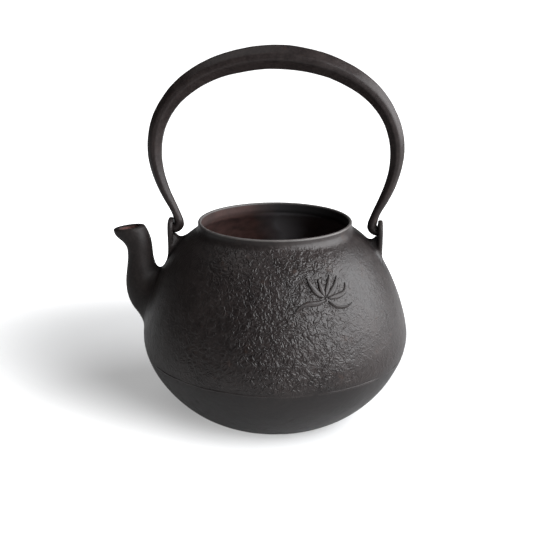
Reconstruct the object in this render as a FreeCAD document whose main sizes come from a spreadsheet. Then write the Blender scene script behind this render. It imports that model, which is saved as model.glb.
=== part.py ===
import FreeCAD, Part
import math
import os

# Cast iron kettle with a swinging bail, millimetres.
# Row frame: origin at the centre of the base, +Z up, the spout points along -X.
# The vessel, the spout and the two lugs are one casting on the real object. They are
# modelled as four solids that meet face to face. The bail is a separate forged bar
# that turns about the X axis in the holes of the two lugs.

doc = FreeCAD.newDocument("Kettle")
sheet = doc.addObject("Spreadsheet::Sheet", "Sizes")
V = FreeCAD.Vector

CELLS = {}


def cell(alias, value):
    row = len(CELLS) + 1
    sheet.set("A%d" % row, alias)
    sheet.set("B%d" % row, repr(round(float(value), 4)))
    sheet.setAlias("B%d" % row, alias)
    CELLS[alias] = float(value)
    return alias


# ---------------------------------------------------------------- driving dimensions

# Outside of the vessel, from the flat foot up to the lip: (corner, radius from the
# axis, height). The arcs between the corners join smoothly.
OUTSIDE = [
    ("foot", 46.0, 0.0),
    ("heel", 56.8, 3.436),
    ("flank", 89.769, 42.704),
    ("belly", 91.783, 64.557),
    ("shoulder", 72.651, 112.288),
    ("neck", 55.661, 129.006),
    ("collar", 52.599, 134.53),
    ("lip_edge", 52.599, 136.2),
    ("lip_top", 51.799, 137.0),
]
OUTSIDE_ARCS = [
    ("heel_arc", 24.15, 1),
    ("flank_arc", 79.68, 1),
    ("belly_arc", 39.85, 1),
    ("shoulder_arc", 133.25, 1),
    ("upper_arc", 55.09, 1),
    ("neck_arc", 6.52, -1),
    None,
    ("lip_round", 0.8, 1),
]
# Inside of the vessel, from the mouth down to the floor, 3.2 mm under the outside.
INSIDE = [
    ("mouth_top", 51.1, 137.0),
    ("mouth_edge", 50.3, 136.2),
    ("mouth_foot", 50.3, 130.45),
    ("throat", 53.964, 126.293),
    ("in_shoulder", 69.966, 110.547),
    ("in_belly", 88.639, 63.962),
    ("in_flank", 86.787, 43.864),
    ("in_heel", 55.142, 6.172),
    ("in_floor", 45.773, 3.192),
]
INSIDE_ARCS = [
    ("mouth_round", 0.8, 1),
    None,
    ("throat_arc", 9.72, 1),
    ("in_upper_arc", 51.89, -1),
    ("in_shoulder_arc", 130.05, -1),
    ("in_belly_arc", 36.65, -1),
    ("in_flank_arc", 76.48, -1),
    ("in_heel_arc", 20.95, -1),
]
for name, r, z in OUTSIDE + INSIDE:
    cell(name + "_r", r)
    if z:
        cell(name + "_z", z)
for arc in OUTSIDE_ARCS + INSIDE_ARCS:
    if arc:
        cell(arc[0], arc[1])
cell("axis_floor_z", 3.192)
cell("axis_top_z", 137.0)

# Spout: oval sections from the root to the lip. Each has a centre, the lean of its
# normal from +Z towards -X in degrees, and half its length and half its width, for the
# outside and for the channel.
SPOUT = [
    ("root", -73.0, 77.2, 80.0, 20.0, 17.0, 14.0, 11.4),
    ("swell", -84.0, 81.5, 66.0, 19.0, 15.6, 14.0, 11.2),
    ("bend", -90.4, 88.0, 39.0, 15.7, 13.3, 11.8, 9.7),
    ("rise", -93.3, 96.0, 13.0, 12.0, 11.2, 8.8, 8.0),
    ("stem", -94.0, 104.2, 2.0, 9.8, 9.5, 6.8, 6.5),
    ("waist", -94.2, 112.0, 2.0, 8.75, 8.55, 5.8, 5.6),
    ("throatlet", -94.9, 118.5, 9.0, 8.9, 8.5, 5.9, 5.5),
    ("flare", -97.5, 124.6, 17.0, 9.6, 8.3, 6.2, 5.2),
    ("lip", -101.9, 130.0, 8.0, 10.5, 8.1, 6.7, 5.1),
]
for name, x, z, lean, a, b, ca, cb in SPOUT:
    cell("spout_%s_x" % name, x)
    cell("spout_%s_z" % name, z)
    cell("spout_%s_lean" % name, lean)
    cell("spout_%s_long" % name, 2 * a)
    cell("spout_%s_wide" % name, 2 * b)
    cell("bore_%s_long" % name, 2 * ca)
    cell("bore_%s_wide" % name, 2 * cb)

# Lugs: upright plates on the shoulder, round at the top about the pivot.
cell("pivot_z", 130.2)
cell("lug_inner_x", 70.2)
cell("lug_thick", 3.3)
cell("lug_round", 7.4)
cell("lug_side_z", 121.0)
cell("lug_root_half", 12.5)
cell("lug_root_z", 104.0)
cell("lug_hole", 3.7)
cell("lug_edge_round", 1.2)

# Bail: oval sections of the right half, from the top of the arch down to the foot.
# Each has a centre, the angle of the bar from +X, and the bar's height and depth.
BAIL = [
    ("crown", 0.0, 245.4, 0.0, 7.6, 8.1),
    ("arch_a", 18.0, 243.8, -9.5, 7.45, 8.0),
    ("arch_b", 35.4, 239.45, -19.5, 7.05, 7.7),
    ("arch_c", 51.7, 231.9, -31.0, 6.55, 7.2),
    ("arch_d", 64.4, 222.1, -44.5, 6.05, 6.7),
    ("arch_e", 74.1, 209.5, -60.5, 5.5, 6.1),
    ("side_a", 79.8, 194.7, -77.5, 5.0, 5.5),
    ("side_b", 80.9, 178.8, -94.5, 4.45, 4.9),
    ("side_c", 78.3, 165.1, -106.0, 3.9, 4.4),
    ("leg_a", 73.2, 151.9, -113.0, 3.3, 3.85),
    ("leg_b", 67.5, 139.4, -110.0, 2.75, 3.4),
    ("ankle", 66.2, 134.2, -96.0, 2.85, 3.25),
    ("foot_end", 66.3, 130.2, -90.0, 3.05, 3.2),
]
for name, x, z, angle, a, b in BAIL:
    if x:
        cell("bail_%s_x" % name, x)
    cell("bail_%s_z" % name, z)
    if angle:
        cell("bail_%s_angle" % name, angle)
    cell("bail_%s_high" % name, 2 * a)
    cell("bail_%s_deep" % name, 2 * b)
cell("foot_x", 66.3)
cell("foot_round", 3.4)
cell("stub_round", 3.2)
cell("stub_end_x", 73.3)

doc.recompute()


# ------------------------------------------------------------------------- helpers

def plane(body, role):
    for feature in body.Origin.OriginFeatures:
        if feature.Role == role:
            return feature
    raise RuntimeError("no plane " + role)


def sketch_on(body, role, name):
    sk = body.newObject("Sketcher::SketchObject", name)
    sk.AttachmentSupport = [(plane(body, role), "")]
    sk.MapMode = "FlatFace"
    return sk


def bind(sk, index, expression):
    sk.setExpression("Constraints[%d]" % index, expression)


def pin_point(sk, geo, pos, x_alias, y_alias):
    """Fixes a sketch point by two cells; None puts the point on that axis."""
    import Sketcher
    if x_alias is None:
        sk.addConstraint(Sketcher.Constraint("PointOnObject", geo, pos, -2))
    else:
        i = sk.addConstraint(Sketcher.Constraint("DistanceX", -1, 1, geo, pos, CELLS[x_alias]))
        bind(sk, i, "Sizes." + x_alias)
    if y_alias is None:
        sk.addConstraint(Sketcher.Constraint("PointOnObject", geo, pos, -1))
    else:
        i = sk.addConstraint(Sketcher.Constraint("DistanceY", -1, 1, geo, pos, CELLS[y_alias]))
        bind(sk, i, "Sizes." + y_alias)


def arc_between(p, q, radius, turn):
    """Arc from p to q that turns left for turn 1 and right for turn -1."""
    mx, my = (p[0] + q[0]) / 2, (p[1] + q[1]) / 2
    dx, dy = q[0] - p[0], q[1] - p[1]
    chord = math.hypot(dx, dy)
    rise = math.sqrt(max(radius * radius - chord * chord / 4, 0.0))
    cx, cy = mx - turn * dy / chord * rise, my + turn * dx / chord * rise
    a0 = math.atan2(p[1] - cy, p[0] - cx)
    a1 = math.atan2(q[1] - cy, q[0] - cx)
    if turn < 0:
        a0, a1 = a1, a0
    if a1 < a0:
        a1 += 2 * math.pi
    return Part.ArcOfCircle(Part.Circle(V(cx, cy, 0), V(0, 0, 1), radius), a0, a1)


def draw_profile(sk, corners, arcs):
    """Closed wire through the corners, each (r alias, z alias, r, z). arcs[i] is None
    for a line to the next corner, or (alias, radius, turn)."""
    import Sketcher
    count = len(corners)
    ends = []
    for i in range(count):
        p = corners[i][2:4]
        q = corners[(i + 1) % count][2:4]
        if arcs[i] is None:
            sk.addGeometry(Part.LineSegment(V(p[0], p[1], 0), V(q[0], q[1], 0)), False)
            ends.append((1, 2))
        else:
            sk.addGeometry(arc_between(p, q, arcs[i][1], arcs[i][2]), False)
            ends.append((1, 2) if arcs[i][2] > 0 else (2, 1))
    for i in range(count):
        j = (i + 1) % count
        sk.addConstraint(Sketcher.Constraint("Coincident", i, ends[i][1], j, ends[j][0]))
    for i in range(count):
        pin_point(sk, i, ends[i][0], corners[i][0], corners[i][1])
    for i in range(count):
        if arcs[i] is not None:
            k = sk.addConstraint(Sketcher.Constraint("Radius", i, arcs[i][1]))
            bind(sk, k, "Sizes." + arcs[i][0])


def corner(name, r, z):
    return (name + "_r", name + "_z" if z else None, r, z)


def revolve(body, sk, name):
    rev = body.newObject("PartDesign::Revolution", name)
    rev.Profile = sk
    rev.ReferenceAxis = (sk, ["V_Axis"])
    rev.Angle = 360.0
    return rev


def oval(body, name, x, z, angle, deep, high, x_alias, z_alias, angle_alias, deep_alias, high_alias, mirror=False, lean=False):
    """Oval section across a bar. angle is the bar's direction from +X towards +Z. The
    section's deep side lies along Y."""
    import Sketcher
    sk = sketch_on(body, "YZ_Plane", name)
    side = -1.0 if mirror else 1.0
    turn = -angle * side
    sk.AttachmentOffset = FreeCAD.Placement(V(0, z, side * x), FreeCAD.Rotation(V(1, 0, 0), turn))
    sign = "-" if mirror else ""
    if x_alias:
        sk.setExpression("AttachmentOffset.Base.z", sign + "Sizes." + x_alias)
    sk.setExpression("AttachmentOffset.Base.y", "Sizes." + z_alias)
    if angle_alias:
        if lean:
            sk.setExpression("AttachmentOffset.Rotation.Angle", "-(90 + Sizes." + angle_alias + ")")
        else:
            sk.setExpression("AttachmentOffset.Rotation.Angle", ("" if mirror else "-") + "Sizes." + angle_alias)
    if deep >= high:
        ends = (V(deep / 2, 0, 0), V(0, high / 2, 0))
        major, minor = deep_alias, high_alias
        across = "Horizontal"
    else:
        ends = (V(0, high / 2, 0), V(-deep / 2, 0, 0))
        major, minor = high_alias, deep_alias
        across = "Vertical"
    sk.addGeometry(Part.Ellipse(ends[0], ends[1], V(0, 0, 0)), False)
    sk.exposeInternalGeometry(0)
    sk.addConstraint(Sketcher.Constraint("Coincident", 0, 3, -1, 1))
    sk.addConstraint(Sketcher.Constraint(across, 1))
    k = sk.addConstraint(Sketcher.Constraint("Distance", 1, CELLS[major]))
    bind(sk, k, "Sizes." + major)
    k = sk.addConstraint(Sketcher.Constraint("Distance", 2, CELLS[minor]))
    bind(sk, k, "Sizes." + minor)
    return sk


def loft(body, name, sections):
    feature = body.newObject("PartDesign::AdditiveLoft", name)
    feature.Profile = sections[0]
    feature.Sections = sections[1:]
    feature.Ruled = False
    feature.Closed = False
    return feature


def cut(name, base, tool, label=None):
    feature = doc.addObject("Part::Cut", name)
    feature.Base = base
    feature.Tool = tool
    feature.Label = label or name
    return feature


# -------------------------------------------------------------------------- vessel

shell = doc.addObject("PartDesign::Body", "vessel_shell")
wall_sketch = sketch_on(shell, "XZ_Plane", "wall_outline")
wall_corners = [corner(*c) for c in OUTSIDE] + [corner(*c) for c in INSIDE]
wall_corners += [(None, "axis_floor_z", 0.0, 3.192), (None, None, 0.0, 0.0)]
wall_arcs = list(OUTSIDE_ARCS) + [None] + list(INSIDE_ARCS) + [None, None, None]
draw_profile(wall_sketch, wall_corners, wall_arcs)
revolve(shell, wall_sketch, "wall_turn")

# The same outside as a full solid, used to trim whatever stands on the vessel.
envelope = doc.addObject("PartDesign::Body", "vessel_envelope")
envelope_sketch = sketch_on(envelope, "XZ_Plane", "envelope_outline")
envelope_corners = [corner(*c) for c in OUTSIDE]
envelope_corners += [(None, "axis_top_z", 0.0, 137.0), (None, None, 0.0, 0.0)]
draw_profile(envelope_sketch, envelope_corners, list(OUTSIDE_ARCS) + [None, None, None])
revolve(envelope, envelope_sketch, "envelope_turn")

# ------------------------------------------------------------------- spout and bore


def spout_sections(body, prefix, kind):
    sections = []
    for name, x, z, lean, a, b, ca, cb in SPOUT:
        long_alias = "%s_%s_long" % (kind, name)
        wide_alias = "%s_%s_wide" % (kind, name)
        sections.append(oval(
            body, prefix + name, x, z, 90.0 + lean, CELLS[wide_alias], CELLS[long_alias],
            "spout_%s_x" % name, "spout_%s_z" % name, "spout_%s_lean" % name,
            wide_alias, long_alias, lean=True))
    return sections


spout_blank = doc.addObject("PartDesign::Body", "spout_blank")
loft(spout_blank, "spout_outside", spout_sections(spout_blank, "outer_", "spout"))

bore = doc.addObject("PartDesign::Body", "spout_bore")
loft(bore, "spout_channel", spout_sections(bore, "inner_", "bore"))

vessel = cut("vessel", shell, bore)
spout_trim = cut("spout_trim", spout_blank, envelope)
spout = cut("spout", spout_trim, bore)

# ----------------------------------------------------------------------------- lugs


def lug(name, side):
    import Sketcher
    body = doc.addObject("PartDesign::Body", name + "_plate")
    sk = sketch_on(body, "YZ_Plane", name + "_outline")
    sk.AttachmentOffset = FreeCAD.Placement(V(0, 0, side * CELLS["lug_inner_x"]), FreeCAD.Rotation())
    sk.setExpression("AttachmentOffset.Base.z", ("" if side > 0 else "-") + "Sizes.lug_inner_x")
    r, pz = CELLS["lug_round"], CELLS["pivot_z"]
    sz, rh, rz = CELLS["lug_side_z"], CELLS["lug_root_half"], CELLS["lug_root_z"]
    sk.addGeometry(Part.ArcOfCircle(Part.Circle(V(0, pz, 0), V(0, 0, 1), r), 0, math.pi), False)
    sk.addGeometry(Part.LineSegment(V(-r, pz, 0), V(-r, sz, 0)), False)
    sk.addGeometry(Part.LineSegment(V(-r, sz, 0), V(-rh, rz, 0)), False)
    sk.addGeometry(Part.LineSegment(V(-rh, rz, 0), V(rh, rz, 0)), False)
    sk.addGeometry(Part.LineSegment(V(rh, rz, 0), V(r, sz, 0)), False)
    sk.addGeometry(Part.LineSegment(V(r, sz, 0), V(r, pz, 0)), False)
    sk.addGeometry(Part.Circle(V(0, pz, 0), V(0, 0, 1), CELLS["lug_hole"]), False)
    con = Sketcher.Constraint
    sk.addConstraint(con("Coincident", 0, 2, 1, 1))
    sk.addConstraint(con("Coincident", 1, 2, 2, 1))
    sk.addConstraint(con("Coincident", 2, 2, 3, 1))
    sk.addConstraint(con("Coincident", 3, 2, 4, 1))
    sk.addConstraint(con("Coincident", 4, 2, 5, 1))
    sk.addConstraint(con("Coincident", 5, 2, 0, 1))
    sk.addConstraint(con("PointOnObject", 0, 3, -2))
    sk.addConstraint(con("Coincident", 6, 3, 0, 3))
    bind(sk, sk.addConstraint(con("DistanceY", -1, 1, 0, 3, pz)), "Sizes.pivot_z")
    bind(sk, sk.addConstraint(con("Radius", 0, r)), "Sizes.lug_round")
    bind(sk, sk.addConstraint(con("Radius", 6, CELLS["lug_hole"])), "Sizes.lug_hole")
    sk.addConstraint(con("Vertical", 1))
    sk.addConstraint(con("Vertical", 5))
    sk.addConstraint(con("Horizontal", 0, 1, 0, 3))
    sk.addConstraint(con("Horizontal", 0, 2, 0, 3))
    sk.addConstraint(con("Horizontal", 1, 2, 4, 2))
    sk.addConstraint(con("Symmetric", 3, 1, 3, 2, -2))
    bind(sk, sk.addConstraint(con("DistanceY", -1, 1, 4, 2, sz)), "Sizes.lug_side_z")
    bind(sk, sk.addConstraint(con("DistanceY", -1, 1, 3, 2, rz)), "Sizes.lug_root_z")
    bind(sk, sk.addConstraint(con("DistanceX", -1, 1, 3, 2, rh)), "Sizes.lug_root_half")
    pad = body.newObject("PartDesign::Pad", name + "_pad")
    pad.Profile = sk
    pad.Length = CELLS["lug_thick"]
    pad.setExpression("Length", "Sizes.lug_thick")
    pad.Reversed = side < 0
    doc.recompute()
    edges = []
    for i, edge in enumerate(pad.Shape.Edges):
        box = edge.BoundBox
        if box.XLength < 1e-6 and box.ZMin > CELLS["lug_side_z"] - 1e-6 and abs(box.YLength - 2 * CELLS["lug_hole"]) > 0.1:
            edges.append("Edge%d" % (i + 1))
    soft = body.newObject("PartDesign::Fillet", name + "_soft_edge")
    soft.Base = (pad, edges)
    soft.Radius = CELLS["lug_edge_round"]
    soft.setExpression("Radius", "Sizes.lug_edge_round")
    return cut(name, body, envelope)


front_lug = lug("spout_lug", -1.0)
rear_lug = lug("rear_lug", 1.0)

# ---------------------------------------------------------------------------- bail

handle = doc.addObject("PartDesign::Body", "handle")
sections = []
for mirror, order in ((True, BAIL[:0:-1]), (False, BAIL)):
    for name, x, z, angle, a, b in order:
        sections.append(oval(
            handle, ("left_" if mirror else "right_") + name, x, z, angle, 2 * b, 2 * a,
            "bail_%s_x" % name if x else None, "bail_%s_z" % name,
            "bail_%s_angle" % name if angle else None,
            "bail_%s_deep" % name, "bail_%s_high" % name, mirror=mirror))
loft(handle, "bail_bar", sections)


def foot(side):
    import Sketcher
    tag = "right" if side > 0 else "left"
    sign = "" if side > 0 else "-"
    con = Sketcher.Constraint
    # Knuckle of the foot, a ball on the pivot axis.
    sk = sketch_on(handle, "XZ_Plane", tag + "_knuckle_outline")
    r, cx, pz = CELLS["foot_round"], side * CELLS["foot_x"], CELLS["pivot_z"]
    sk.AttachmentOffset = FreeCAD.Placement(V(cx, pz, 0), FreeCAD.Rotation())
    sk.setExpression("AttachmentOffset.Base.x", sign + "Sizes.foot_x")
    sk.setExpression("AttachmentOffset.Base.y", "Sizes.pivot_z")
    sk.addGeometry(Part.ArcOfCircle(Part.Circle(V(0, 0, 0), V(0, 0, 1), r), -math.pi / 2, math.pi / 2), False)
    sk.addGeometry(Part.LineSegment(V(0, r, 0), V(0, -r, 0)), False)
    sk.addConstraint(con("Coincident", 0, 2, 1, 1))
    sk.addConstraint(con("Coincident", 1, 2, 0, 1))
    sk.addConstraint(con("Coincident", 0, 3, -1, 1))
    sk.addConstraint(con("PointOnObject", 1, 1, -2))
    sk.addConstraint(con("PointOnObject", 1, 2, -2))
    bind(sk, sk.addConstraint(con("Radius", 0, r)), "Sizes.foot_round")
    ball = handle.newObject("PartDesign::Revolution", tag + "_knuckle")
    ball.Profile = sk
    ball.ReferenceAxis = (sk, ["V_Axis"])
    ball.Angle = 360.0
    # Stub that passes out through the lug's hole.
    sk = sketch_on(handle, "YZ_Plane", tag + "_stub_outline")
    sk.AttachmentOffset = FreeCAD.Placement(V(0, pz, cx), FreeCAD.Rotation())
    sk.setExpression("AttachmentOffset.Base.y", "Sizes.pivot_z")
    sk.setExpression("AttachmentOffset.Base.z", sign + "Sizes.foot_x")
    sk.addGeometry(Part.Circle(V(0, 0, 0), V(0, 0, 1), CELLS["stub_round"]), False)
    sk.addConstraint(con("Coincident", 0, 3, -1, 1))
    bind(sk, sk.addConstraint(con("Radius", 0, CELLS["stub_round"])), "Sizes.stub_round")
    stub = handle.newObject("PartDesign::Pad", tag + "_stub")
    stub.Profile = sk
    stub.Length = CELLS["stub_end_x"] - CELLS["foot_x"]
    stub.setExpression("Length", "Sizes.stub_end_x - Sizes.foot_x")
    stub.Reversed = side < 0
    handle.Tip = stub


foot(-1.0)
foot(1.0)

doc.recompute()

# ------------------------------------------------------------------ tests and files

for obj in doc.Objects:
    if any(word in obj.State for word in ("Invalid", "Error")):
        raise RuntimeError("%s: %s %s" % (obj.Name, obj.State, obj.getStatusString()))

NODES = {"vessel": vessel, "spout": spout, "spout_lug": front_lug, "rear_lug": rear_lug, "handle": handle}
os.makedirs("parts", exist_ok=True)
for node, obj in NODES.items():
    shape = obj.Shape
    if shape.isNull() or not shape.isValid() or len(shape.Solids) != 1:
        raise RuntimeError("%s: bad shape, %d solids" % (node, len(shape.Solids)))
    obj.Label = node
    shape.exportStep("parts/%s.step" % node)
    box = shape.BoundBox
    print("%s volume %.1f mm3, x %.2f..%.2f y %.2f..%.2f z %.2f..%.2f" % (
        node, shape.Volume, box.XMin, box.XMax, box.YMin, box.YMax, box.ZMin, box.ZMax))
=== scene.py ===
import math

import bmesh
import bpy
import numpy as np
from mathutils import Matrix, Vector


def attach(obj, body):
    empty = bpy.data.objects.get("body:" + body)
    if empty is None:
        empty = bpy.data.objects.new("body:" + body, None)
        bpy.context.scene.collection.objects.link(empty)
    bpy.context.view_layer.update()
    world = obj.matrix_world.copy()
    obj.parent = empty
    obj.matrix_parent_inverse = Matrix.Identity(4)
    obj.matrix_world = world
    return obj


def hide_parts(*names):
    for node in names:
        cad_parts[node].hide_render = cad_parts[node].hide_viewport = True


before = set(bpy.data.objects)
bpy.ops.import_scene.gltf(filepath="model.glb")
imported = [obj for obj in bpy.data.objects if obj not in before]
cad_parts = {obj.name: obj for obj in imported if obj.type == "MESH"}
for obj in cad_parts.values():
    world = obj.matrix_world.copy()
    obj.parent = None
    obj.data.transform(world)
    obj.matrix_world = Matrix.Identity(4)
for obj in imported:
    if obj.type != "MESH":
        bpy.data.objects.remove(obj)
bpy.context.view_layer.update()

MM = 0.001

# ----------------------------------------------------------------------------
# Sizes in millimetres, in the row frame (origin at the centre of the base).
# ----------------------------------------------------------------------------
OUT_PTS = [(46, 0), (56.8, 3.436), (89.769, 42.704), (91.783, 64.557), (72.651, 112.288),
           (55.661, 129.006), (52.599, 134.53), (52.599, 136.2), (51.799, 137)]
OUT_ARCS = [(24.15, 1), (79.68, 1), (39.85, 1), (133.25, 1), (55.09, 1), (6.52, -1), None, (0.8, 1)]
IN_PTS = [(51.1, 137), (50.3, 136.2), (50.3, 130.45), (53.964, 126.293), (69.966, 110.547),
          (88.639, 63.962), (86.787, 43.864), (55.142, 6.172), (45.773, 3.192)]
IN_ARCS = [(0.8, 1), None, (9.72, 1), (51.89, -1), (130.05, -1), (36.65, -1), (76.48, -1), (20.95, -1)]

# x, z, lean of the section's normal, outer half-long, outer half-wide, bore half-long, bore half-wide
SPOUT = np.array([
    (-73, 77.2, 80, 20, 17, 14, 11.4), (-84, 81.5, 66, 19, 15.6, 14, 11.2),
    (-90.4, 88, 39, 15.7, 13.3, 11.8, 9.7), (-93.3, 96, 13, 12, 11.2, 8.8, 8.0),
    (-94, 104.2, 2, 9.8, 9.5, 6.8, 6.5), (-94.2, 112, 2, 8.75, 8.55, 5.8, 5.6),
    (-94.9, 118.5, 9, 8.9, 8.5, 5.9, 5.5), (-97.5, 124.6, 17, 9.6, 8.3, 6.2, 5.2),
    (-101.9, 130, 8, 10.5, 8.1, 6.7, 5.1)], float)

PIVOT_Z = 130.2
LUG_X0, LUG_X1, LUG_R, LUG_HOLE = 70.2, 73.5, 7.4, 3.7

# right half of the bail: x, z, heading, half-high, half-deep
BAIL = [(0, 245.4, 0, 7.6, 8.1), (18, 243.8, -9.5, 7.45, 8.0), (35.4, 239.45, -19.5, 7.05, 7.7),
        (51.7, 231.9, -31, 6.55, 7.2), (64.4, 222.1, -44.5, 6.05, 6.7), (74.1, 209.5, -60.5, 5.5, 6.1),
        (79.8, 194.7, -77.5, 5.0, 5.5), (80.9, 178.8, -94.5, 4.45, 4.9), (78.3, 165.1, -106, 3.9, 4.4),
        (73.2, 151.9, -113, 3.3, 3.85), (67.9, 140.6, -110, 2.85, 3.4), (66.25, 135.4, -96, 3.2, 3.4)]


# ----------------------------------------------------------------------------
# Noise, the same every run
# ----------------------------------------------------------------------------
_rng = np.random.RandomState(7)
PERM = np.concatenate([_rng.permutation(256)] * 3)
_g = _rng.normal(size=(256, 3))
GRAD = _g / np.linalg.norm(_g, axis=1, keepdims=True)


def gnoise(p, period, shift=0.0):
    q = np.asarray(p, float) / period + shift
    i = np.floor(q).astype(int)
    f = q - i
    w = f * f * f * (f * (f * 6 - 15) + 10)
    out = np.zeros(len(q))
    for dx in (0, 1):
        for dy in (0, 1):
            for dz in (0, 1):
                h = PERM[(PERM[(PERM[(i[:, 0] + dx) & 255] + i[:, 1] + dy) & 255] + i[:, 2] + dz) & 255]
                g = GRAD[h]
                d = g[:, 0] * (f[:, 0] - dx) + g[:, 1] * (f[:, 1] - dy) + g[:, 2] * (f[:, 2] - dz)
                wx = w[:, 0] if dx else 1 - w[:, 0]
                wy = w[:, 1] if dy else 1 - w[:, 1]
                wz = w[:, 2] if dz else 1 - w[:, 2]
                out += d * wx * wy * wz
    return out * 1.6


def sstep(a, b, x):
    t = np.clip((x - a) / (b - a), 0, 1)
    return t * t * (3 - 2 * t)


def smin(a, b, k):
    h = np.maximum(k - np.abs(a - b), 0) / k
    return np.minimum(a, b) - h * h * k * 0.25


def smax(a, b, k):
    return -smin(-a, -b, k)


# ----------------------------------------------------------------------------
# Wall profile: polylines, lengths and a distance table
# ----------------------------------------------------------------------------
def arc(p, q, radius, turn, step=0.25):
    p, q = np.array(p, float), np.array(q, float)
    d = q - p
    ln = np.linalg.norm(d)
    nrm = np.array([-d[1], d[0]]) / ln * turn
    c = (p + q) / 2 + nrm * math.sqrt(max(radius * radius - ln * ln / 4, 0))
    a0 = math.atan2(p[1] - c[1], p[0] - c[0])
    a1 = math.atan2(q[1] - c[1], q[0] - c[0])
    da = (a1 - a0 + math.pi) % (2 * math.pi) - math.pi
    n = max(4, int(abs(da) * radius / step))
    a = a0 + da * np.linspace(0, 1, n + 1)
    return np.c_[c[0] + radius * np.cos(a), c[1] + radius * np.sin(a)]


def profile(pts, arcs):
    out = []
    for i, a in enumerate(arcs):
        seg = np.array([pts[i], pts[i + 1]], float) if a is None else arc(pts[i], pts[i + 1], *a)
        out.append(seg if i == len(arcs) - 1 else seg[:-1])
    return np.vstack(out)


OUT = profile(OUT_PTS, OUT_ARCS)
INN = profile(IN_PTS, IN_ARCS)


def lengths(poly):
    return np.r_[0, np.cumsum(np.hypot(*np.diff(poly, axis=0).T))]


OUT_S, INN_S = lengths(OUT), lengths(INN)


def at(poly, s_all, s):
    """Point and outward normal at a distance along a profile (solid on the left)."""
    s = np.asarray(s, float)
    p = np.c_[np.interp(s, s_all, poly[:, 0]), np.interp(s, s_all, poly[:, 1])]
    e = 0.35
    a, b = np.clip(s - e, 0, s_all[-1]), np.clip(s + e, 0, s_all[-1])
    t = np.c_[np.interp(b, s_all, poly[:, 0]) - np.interp(a, s_all, poly[:, 0]),
              np.interp(b, s_all, poly[:, 1]) - np.interp(a, s_all, poly[:, 1])]
    t /= np.linalg.norm(t, axis=1, keepdims=True)
    return p, np.c_[t[:, 1], -t[:, 0]]


class Table:
    """Signed distance to a profile closed along the axis, looked up by (r, z)."""
    STEP, R1, Z0, Z1 = 0.5, 130.0, -14.0, 150.0

    def __init__(self, poly):
        loop = np.vstack([[(0, poly[0, 1])], poly, [(0, poly[-1, 1])]])
        r = np.arange(0, self.R1 + self.STEP, self.STEP)
        z = np.arange(self.Z0, self.Z1 + self.STEP, self.STEP)
        g = np.stack(np.meshgrid(r, z, indexing="ij"), -1).reshape(-1, 2)
        best = np.full(len(g), 1e9)
        inside = np.zeros(len(g), bool)
        for k in range(len(loop) - 1):
            a, b = loop[k], loop[k + 1]
            d = b - a
            ll = float(d @ d)
            if ll < 1e-12:
                continue
            t = np.clip(((g - a) @ d) / ll, 0, 1)
            e = g - a - t[:, None] * d
            best = np.minimum(best, (e * e).sum(1))
            if a[1] != b[1]:
                cross = (a[1] > g[:, 1]) != (b[1] > g[:, 1])
                rx = a[0] + (g[:, 1] - a[1]) / (b[1] - a[1]) * (b[0] - a[0])
                inside ^= cross & (g[:, 0] < rx)
        d = np.sqrt(best)
        self.v = np.where(inside, -d, d).reshape(len(r), len(z))

    def __call__(self, p):
        r = np.clip(np.hypot(p[:, 0], p[:, 1]) / self.STEP, 0, self.v.shape[0] - 1.001)
        z = np.clip((p[:, 2] - self.Z0) / self.STEP, 0, self.v.shape[1] - 1.001)
        i, j = r.astype(int), z.astype(int)
        u, w = r - i, z - j
        v = self.v
        return ((v[i, j] * (1 - u) + v[i + 1, j] * u) * (1 - w) + (v[i, j + 1] * (1 - u) + v[i + 1, j + 1] * u) * w)


# a third of the profile points is enough for the table
hull_sd = Table(np.vstack([OUT[::3], OUT[-1:]]))
cavity_sd = Table(np.vstack([INN[::3], INN[-1:]])[::-1])


# ----------------------------------------------------------------------------
# Spout: fine stations from a smooth curve through the sections
# ----------------------------------------------------------------------------
def spline(x, y, xn):
    """Natural cubic spline of columns y over x, evaluated at xn."""
    n = len(x)
    h = np.diff(x)
    a = np.zeros((n, n))
    rhs = np.zeros((n, y.shape[1]))
    a[0, 0] = a[-1, -1] = 1
    for i in range(1, n - 1):
        a[i, i - 1], a[i, i], a[i, i + 1] = h[i - 1], 2 * (h[i - 1] + h[i]), h[i]
        rhs[i] = 3 * ((y[i + 1] - y[i]) / h[i] - (y[i] - y[i - 1]) / h[i - 1])
    c = np.linalg.solve(a, rhs)
    k = np.clip(np.searchsorted(x, xn) - 1, 0, n - 2)
    t = (xn - x[k])[:, None]
    hk = h[k][:, None]
    b = (y[k + 1] - y[k]) / hk - hk * (2 * c[k] + c[k + 1]) / 3
    d = (c[k + 1] - c[k]) / (3 * hk)
    return y[k] + b * t + c[k] * t * t + d * t ** 3


_root = SPOUT[0].copy()
_nr = np.array([-math.sin(math.radians(80)), math.cos(math.radians(80))])
_root[:2] -= _nr * 22
_st = np.vstack([_root, SPOUT])
_len = np.r_[0, np.cumsum(np.hypot(*np.diff(_st[:, :2], axis=0).T))]
ST_LEN = np.linspace(0, _len[-1], 150)
ST = spline(_len, _st, ST_LEN)


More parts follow.
